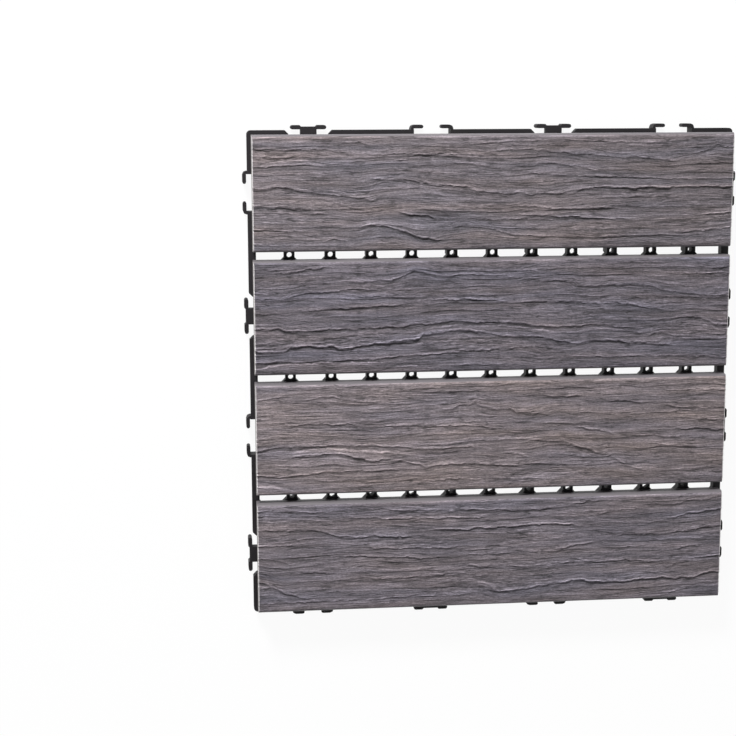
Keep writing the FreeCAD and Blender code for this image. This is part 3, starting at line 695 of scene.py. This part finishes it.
# A pattern is a noise laid along the grain: the size of one patch along and across it in mm, its
# detail and roughness, then the range that is taken from it and the range that this is mapped to.
composite = {
    "patterns": {
        "tint": (110, 11, 3.0, 0.5, 0.32, 0.68, 0.0, 1.0),
        "band": (60, 5, 2.0, 0.5, 0.30, 0.70, 0.70, 1.29),
        "fibre": (11.5, 0.7, 4.0, 0.84, 0.28, 0.72, 0.40, 1.60),
        "crack": (21, 1.4, 2.0, 0.5, 0.46, 0.54, 0.0, 1.0),
        "cracked": (22, 5, 2.0, 0.5, 0.44, 0.56, 0.0, 1.0),
        "dash": (10.5, 0.9, 2.0, 0.6, 0.57, 0.67, 1.0, 1.45),
        "flour": (1.6, 0.7, 2.0, 0.6, 0.32, 0.68, 0.74, 1.26),
    },
    "baseShare": 0.55,           # of the base colour over the warm and cool streaks
    "crackDark": 2.5,
    "rimPaintedHighlight": 0.75,
    "hollowFrom": (-0.36, 0.32),   # mm under and over the blurred face that are darkest and palest
    # painted shade in the hollows and painted light on the crests: at most this much darker and paler
    "hollowPaintedShade": 0.62,
    "crestPaintedLight": 0.38,
    "halfLength": 0.147,         # m, where the painted light falloff from end to end is full
    "bump": {"Strength": 0.9, "Distance": 0.00028},
    "gloss": {"Roughness": 0.68, "IOR": 1.5},
    "plainLines": (50, 2, 2),    # mm
    "plainColours": ("#5b575a", "#726d71"),
    "plainBump": {"Strength": 0.25, "Distance": 0.0002},
    "plainGloss": {"Roughness": 0.55, "IOR": 1.5},
    "specks": {"Scale": 1500.0, "Detail": 3.0, "Roughness": 0.6},   # scales are per metre
    "sawMarks": {"Scale": (1.0, 850.0, 60.0)},   # about 1.2 mm apart and 17 mm long, down the cut
    "sawShare": 0.6,
    "sawnFrom": {"From Min": 0.5, "From Max": 1.1},
    "sawnColours": ("#7a7574", "#a6a1a0"),
    "sawnBump": {"Strength": 0.4, "Distance": 0.0002},
    "sawnGloss": {"Roughness": 0.85, "IOR": 1.5},
    "arrisHighlightColour": "#ebe8ea",
}


def mixOf(first, second):
    return {"data_type": "RGBA", 6: linear(first), 7: linear(second)}


def embossedComposite(name, base, warm, cool, paintedLipShade, paintedLightFalloff):
    # wood flour and polyethylene, extruded and rolled with a split wood embossing: matt and dusty,
    # mid grey, with long cool and warm streaks along the board, painted shade in the hollows under the
    # lips, painted light on the crests and painted highlights on the lips' rims
    material, tree = newMaterial(name)
    place = addNode(tree, "ShaderNodeTexCoord").outputs["Object"]
    axes = addNode(tree, "ShaderNodeSeparateXYZ", None, {0: place})
    grainUp = addNode(tree, "ShaderNodeAttribute", {"attribute_name": "grainUp"})
    grain = addNode(tree, "ShaderNodeCombineXYZ", None, {0: axes.outputs[0], 1: grainUp.outputs["Fac"]})

    found = {}
    for title, (long, across, detail, rough, low, high, toLow, toHigh) in composite["patterns"].items():
        laid = addNode(tree, "ShaderNodeMapping", {"Scale": (1 / (long * mm), 1 / (across * mm), 1.0)},
                       {"Vector": grain.outputs[0]})
        noise = addNode(tree, "ShaderNodeTexNoise", {"Scale": 1.0, "Detail": detail, "Roughness": rough},
                        {"Vector": laid.outputs[0]})
        ranged = addNode(tree, "ShaderNodeMapRange",
                         {"From Min": low, "From Max": high, "To Min": toLow, "To Max": toHigh},
                         {"Value": noise.outputs["Fac"]})
        found[title] = ranged.outputs[0]

    streaks = addNode(tree, "ShaderNodeMix", mixOf(cool, warm), {0: found["tint"]})
    overlay = {"data_type": "RGBA", 0: composite["baseShare"], 7: linear(base)}
    body = addNode(tree, "ShaderNodeMix", overlay, {6: streaks.outputs[2]})
    # a crack runs where its noise t crosses the middle: t (1 - t) peaks there
    other = addNode(tree, "ShaderNodeMath", {"operation": "SUBTRACT", 0: 1.0}, {1: found["crack"]})
    peak = addNode(tree, "ShaderNodeMath", {"operation": "MULTIPLY"},
                   {0: found["crack"], 1: other.outputs[0]})
    cracks = addNode(tree, "ShaderNodeMath", {"operation": "MULTIPLY"},
                     {0: peak.outputs[0], 1: found["cracked"]})
    darker = {"operation": "MULTIPLY_ADD", 1: -composite["crackDark"], 2: 1.0}
    dark = addNode(tree, "ShaderNodeMath", darker, {0: cracks.outputs[0]})

    # painted shade and light: darker where the face lies below the blurred face round it, as under the
    # lips, paler on the crests above it
    hollow = addNode(tree, "ShaderNodeAttribute", {"attribute_name": "hollow"})
    low, high = composite["hollowFrom"]
    toLow, toHigh = 1 - composite["hollowPaintedShade"] * paintedLipShade, 1 + composite["crestPaintedLight"] * paintedLipShade
    depth = addNode(tree, "ShaderNodeMapRange",
                    {"From Min": low, "From Max": high, "To Min": toLow, "To Max": toHigh},
                    {"Value": hollow.outputs["Fac"]})
    # painted highlight: the lips' raised rims are painted paler, where light would catch them
    rim = addNode(tree, "ShaderNodeAttribute", {"attribute_name": "rim"})
    rimHighlightSettings = {"operation": "MULTIPLY_ADD", 1: composite["rimPaintedHighlight"], 2: 1.0}
    rimHighlight = addNode(tree, "ShaderNodeMath", rimHighlightSettings, {0: rim.outputs["Fac"]})
    # painted light falloff: the board is painted paler towards -X and darker towards +X, as the light
    # falls off along it
    half = composite["halfLength"]
    ends = addNode(tree, "ShaderNodeMapRange",
                   {"From Min": -half, "From Max": half, "To Min": 1 + paintedLightFalloff, "To Max": 1 - paintedLightFalloff},
                   {"Value": axes.outputs[0]})
    level = depth.outputs[0]
    shares = [ends.outputs[0], rimHighlight.outputs[0], dark.outputs[0]]
    for part in shares + [found[title] for title in ("band", "fibre", "dash", "flour")]:
        level = addNode(tree, "ShaderNodeMath", {"operation": "MULTIPLY"}, {0: level, 1: part}).outputs[0]
    colour = addNode(tree, "ShaderNodeVectorMath", {"operation": "SCALE"},
                     {0: body.outputs[2], "Scale": level})

    height = found["fibre"]
    for part in (found["flour"], dark.outputs[0]):
        height = addNode(tree, "ShaderNodeMath", {"operation": "ADD"}, {0: height, 1: part}).outputs[0]
    bump = addNode(tree, "ShaderNodeBump", composite["bump"], {"Height": height})
    shader = addNode(tree, "ShaderNodeBsdfPrincipled", composite["gloss"],
                     {"Base Color": colour.outputs[0], "Normal": bump.outputs[0]})
    addNode(tree, "ShaderNodeOutputMaterial", None, {"Surface": shader.outputs[0]})
    return material


def smoothComposite():
    # the same composite where the die left it plain: sides and underside, darker and smoother, with
    # fine lines drawn along the board
    material, tree = newMaterial("compositeExtrudedSmooth")
    place = addNode(tree, "ShaderNodeTexCoord").outputs["Object"]
    scale = tuple(1 / (size * mm) for size in composite["plainLines"])
    laid = addNode(tree, "ShaderNodeMapping", {"Scale": scale}, {"Vector": place})
    lines = addNode(tree, "ShaderNodeTexNoise", {"Scale": 1.0, "Detail": 3.0}, {"Vector": laid.outputs[0]})
    colour = addNode(tree, "ShaderNodeMix", mixOf(*composite["plainColours"]), {0: lines.outputs["Fac"]})
    bump = addNode(tree, "ShaderNodeBump", composite["plainBump"], {"Height": lines.outputs["Fac"]})
    shader = addNode(tree, "ShaderNodeBsdfPrincipled", composite["plainGloss"],
                     {"Base Color": colour.outputs[2], "Normal": bump.outputs[0]})
    addNode(tree, "ShaderNodeOutputMaterial", None, {"Surface": shader.outputs[0]})
    return material


def sawnComposite():
    # the composite where the saw cut it: mid grey and rough, with fine wood flour specks and upright
    # saw marks, and a painted highlight along the arris
    material, tree = newMaterial("compositeSawn")
    place = addNode(tree, "ShaderNodeTexCoord").outputs["Object"]
    specks = addNode(tree, "ShaderNodeTexNoise", composite["specks"], {"Vector": place})
    marks = addNode(tree, "ShaderNodeMapping", composite["sawMarks"], {"Vector": place})
    saw = addNode(tree, "ShaderNodeTexNoise", {"Scale": 1.0, "Detail": 2.0}, {"Vector": marks.outputs[0]})
    both = addNode(tree, "ShaderNodeMath", {"operation": "MULTIPLY_ADD", 1: composite["sawShare"]},
                   {0: saw.outputs["Fac"], 2: specks.outputs["Fac"]})
    ramp = addNode(tree, "ShaderNodeMapRange", composite["sawnFrom"], {"Value": both.outputs[0]})
    cut = addNode(tree, "ShaderNodeMix", mixOf(*composite["sawnColours"]), {0: ramp.outputs[0]})
    # painted highlight: the arris along the top of the cut is painted near white by the rim value
    rim = addNode(tree, "ShaderNodeAttribute", {"attribute_name": "rim"})
    colour = addNode(tree, "ShaderNodeMix", {"data_type": "RGBA", 7: linear(composite["arrisHighlightColour"])},
                     {0: rim.outputs["Fac"], 6: cut.outputs[2]})
    bump = addNode(tree, "ShaderNodeBump", composite["sawnBump"], {"Height": both.outputs[0]})
    shader = addNode(tree, "ShaderNodeBsdfPrincipled", composite["sawnGloss"],
                     {"Base Color": colour.outputs[2], "Normal": bump.outputs[0]})
    addNode(tree, "ShaderNodeOutputMaterial", None, {"Surface": shader.outputs[0]})
    return material


def makeSlats():
    smooth = smoothComposite()
    sawn = sawnComposite()
    for name, (seed, *look) in slats["each"].items():
        top = embossedComposite("compositeEmbossed_" + name, *look)
        makeSlat(name, seed, [top, smooth, sawn])


baseGrid = {
    "colour": "#0f0b0f",
    "bloom": "#191419",
    "clouds": {"Scale": 60.0, "Detail": 4.0, "Roughness": 0.6},   # per metre, patches of about 17 mm
    "bloomFrom": {"From Min": 0.4, "From Max": 0.75},
    "sparks": {"Scale": 2400.0, "Detail": 2.0},   # grain of about 0.4 mm
    "sparkBump": {"Strength": 0.2, "Distance": 0.00012},
    "roughFrom": {"From Min": 0.3, "From Max": 0.7},
    "roughness": 0.66,
    "shinier": 0.06,
    "duller": 0.1,
    "refraction": 1.49,
}


def mouldedPolypropylene():
    # black polypropylene from a mould: satin, almost black, with a faint pale bloom and a fine
    # spark grain that softens its highlights
    material, tree = newMaterial("polypropyleneMouldedBlack")
    place = addNode(tree, "ShaderNodeTexCoord").outputs["Object"]
    cloud = addNode(tree, "ShaderNodeTexNoise", baseGrid["clouds"], {"Vector": place})
    grain = addNode(tree, "ShaderNodeTexNoise", baseGrid["sparks"], {"Vector": place})
    ramp = addNode(tree, "ShaderNodeMapRange", baseGrid["bloomFrom"], {"Value": cloud.outputs["Fac"]})
    colour = addNode(tree, "ShaderNodeMix", mixOf(baseGrid["colour"], baseGrid["bloom"]),
                     {0: ramp.outputs[0]})
    low, high = baseGrid["roughness"] - baseGrid["shinier"], baseGrid["roughness"] + baseGrid["duller"]
    rough = addNode(tree, "ShaderNodeMapRange",
                    {**baseGrid["roughFrom"], "To Min": low, "To Max": high},
                    {"Value": cloud.outputs["Fac"]})
    bump = addNode(tree, "ShaderNodeBump", baseGrid["sparkBump"], {"Height": grain.outputs["Fac"]})
    shader = addNode(tree, "ShaderNodeBsdfPrincipled", {"IOR": baseGrid["refraction"]},
                     {"Base Color": colour.outputs[2], "Roughness": rough.outputs[0],
                      "Normal": bump.outputs[0]})
    addNode(tree, "ShaderNodeOutputMaterial", None, {"Surface": shader.outputs[0]})
    return material


def dressNode(name, material):
    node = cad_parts[name]
    node.data.materials.clear()
    node.data.materials.append(material)


screws = {
    "places": ((125, 25), (125, 125), (50, 50), (50, 100)),   # mm, one quarter of the tile
    "headFace": 6.1,         # heights above the ground in mm
    "headTop": 8.0,
    "shankTop": 16.2,
    "pointTop": 18.0,
    "dome": 0.62,            # how far the face's edge lies above its middle
    "faceRadii": (0.12, 0.25, 0.36, 0.42, 0.5, 0.7, 0.95, 1.2, 1.35, 1.5, 1.8, 2.1, 2.32),
    "headRadius": 2.45,
    "headBevel": (0.15, 0.2),   # inward and down
    "shankRadius": 1.7,
    "pointRadius": 0.3,
    "recessReach": 1.35,     # half length of the cross recess
    "recessWidth": 0.42,     # half width of one of its arms
    "recessDepth": 1.0,
    "recessSlopes": (0.25, 0.12, 0.05),   # at an arm's end, then inside and outside its side
    "pointBlunt": 0.1,
    "turned": 64,            # points round a screw
    "sharpFrom": 40,         # degrees
    "firstTurn": 0.4,        # radians, how the recesses stand, and
    "nextTurn": 1.1,         # how far each is turned past the one before
    "colour": "#b4b2ad",
    "tarnish": "#8d8a86",
    "patches": {"Scale": 700.0, "Detail": 3.0},   # per metre, about 1.4 mm
    "gloss": {"Metallic": 1.0, "Roughness": 0.34},
}


def screwFace(turn):
    # height = dome * (radius / head radius) ^ 4, plus the recess depth where the distance to the
    # nearer arm's middle line is under its half width
    radii = np.array(screws["faceRadii"] + (screws["headRadius"],))
    radius, turn = np.broadcast_arrays(radii[:, None], turn[None, :])
    x, y = radius * np.cos(turn), radius * np.sin(turn)
    dome = screws["dome"] * (radius / screws["headRadius"]) ** 4
    nearArm, alongArm = np.minimum(np.abs(x), np.abs(y)), np.maximum(np.abs(x), np.abs(y))
    reach, width = screws["recessReach"], screws["recessWidth"]
    atEnd, inside, outside = screws["recessSlopes"]
    inLength = 1 - smoothStep(reach - atEnd, reach, alongArm)
    inWidth = 1 - smoothStep(width - inside, width + outside, nearArm)
    recess = screws["recessDepth"] * inLength * inWidth
    return np.stack([x, y, screws["headFace"] + dome + recess], -1)


def oneScrew():
    # turned about its own axis: the domed face, the head's side, then the shank and the point. Both
    # ends are closed to a point in the middle
    n = screws["turned"]
    turn = np.arange(n) * 2 * np.pi / n
    inward, down = screws["headBevel"]
    profile = ((screws["headRadius"], screws["headTop"] - down),
               (screws["headRadius"] - inward, screws["headTop"]),
               (screws["shankRadius"], screws["headTop"]), (screws["shankRadius"], screws["shankTop"]),
               (screws["pointRadius"], screws["pointTop"] - screws["pointBlunt"]))
    rings = [screwFace(turn)]
    for radius, height in profile:
        ring = [radius * np.cos(turn), radius * np.sin(turn), np.full(n, height)]
        rings.append(np.stack(ring, -1)[None])
    grid = np.concatenate(rings)
    middle, tip = [0, 0, screws["headFace"] + screws["recessDepth"]], [0, 0, screws["pointTop"]]
    points = np.concatenate([grid.reshape(-1, 3), [middle, tip]])
    index = np.arange(grid.shape[0] * n).reshape(-1, n)
    after = np.roll(index, -1, axis=1)
    quads = np.stack([index[:-1], index[1:], after[1:], after[:-1]], -1).reshape(-1, 4)
    fans = np.concatenate([np.stack([index[0], after[0], np.full(n, len(points) - 2)], -1),
                           np.stack([index[-1], np.full(n, len(points) - 1), after[-1]], -1)])
    return points, quads, fans


def makeScrews(material):
    one, quads, fans = oneScrew()
    places = [(sx * px, sy * py) for px, py in screws["places"] for sx in (1, -1) for sy in (1, -1)]
    points, fourSided, threeSided = [], [], []
    for k, (px, py) in enumerate(places):
        spin = screws["firstTurn"] + screws["nextTurn"] * k
        c, s = np.cos(spin), np.sin(spin)
        points.append(one @ np.array([[c, s, 0], [-s, c, 0], [0, 0, 1]]) + [px, py, 0])
        fourSided.append(quads + k * len(one))
        threeSided.append(fans + k * len(one))
    mesh = bpy.data.meshes.new("panHeadScrews")
    mesh.from_pydata((np.concatenate(points) * mm).tolist(), [],
                     np.concatenate(fourSided).tolist() + np.concatenate(threeSided).tolist())
    mesh.shade_smooth()
    mesh.set_sharp_from_angle(angle=np.radians(screws["sharpFrom"]))
    mesh.materials.append(material)
    piece = placeInScene("panHeadScrews", mesh)
    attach(piece, "root")
    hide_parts("slat_screws")
    print("screws made,", len(places))


def zincPlatedSteel():
    # cold-headed steel with a bright zinc coat: clear soft highlights, greyed in patches
    material, tree = newMaterial("steelZincPlated")
    place = addNode(tree, "ShaderNodeTexCoord").outputs["Object"]
    cloud = addNode(tree, "ShaderNodeTexNoise", screws["patches"], {"Vector": place})
    colour = addNode(tree, "ShaderNodeMix", mixOf(screws["tarnish"], screws["colour"]),
                     {0: cloud.outputs["Fac"]})
    shader = addNode(tree, "ShaderNodeBsdfPrincipled", screws["gloss"], {"Base Color": colour.outputs[2]})
    addNode(tree, "ShaderNodeOutputMaterial", None, {"Surface": shader.outputs[0]})
    return material


makeStudio()
makeSlats()
dressNode("base_grid", mouldedPolypropylene())
print("base grid dressed")
makeScrews(zincPlatedSteel())
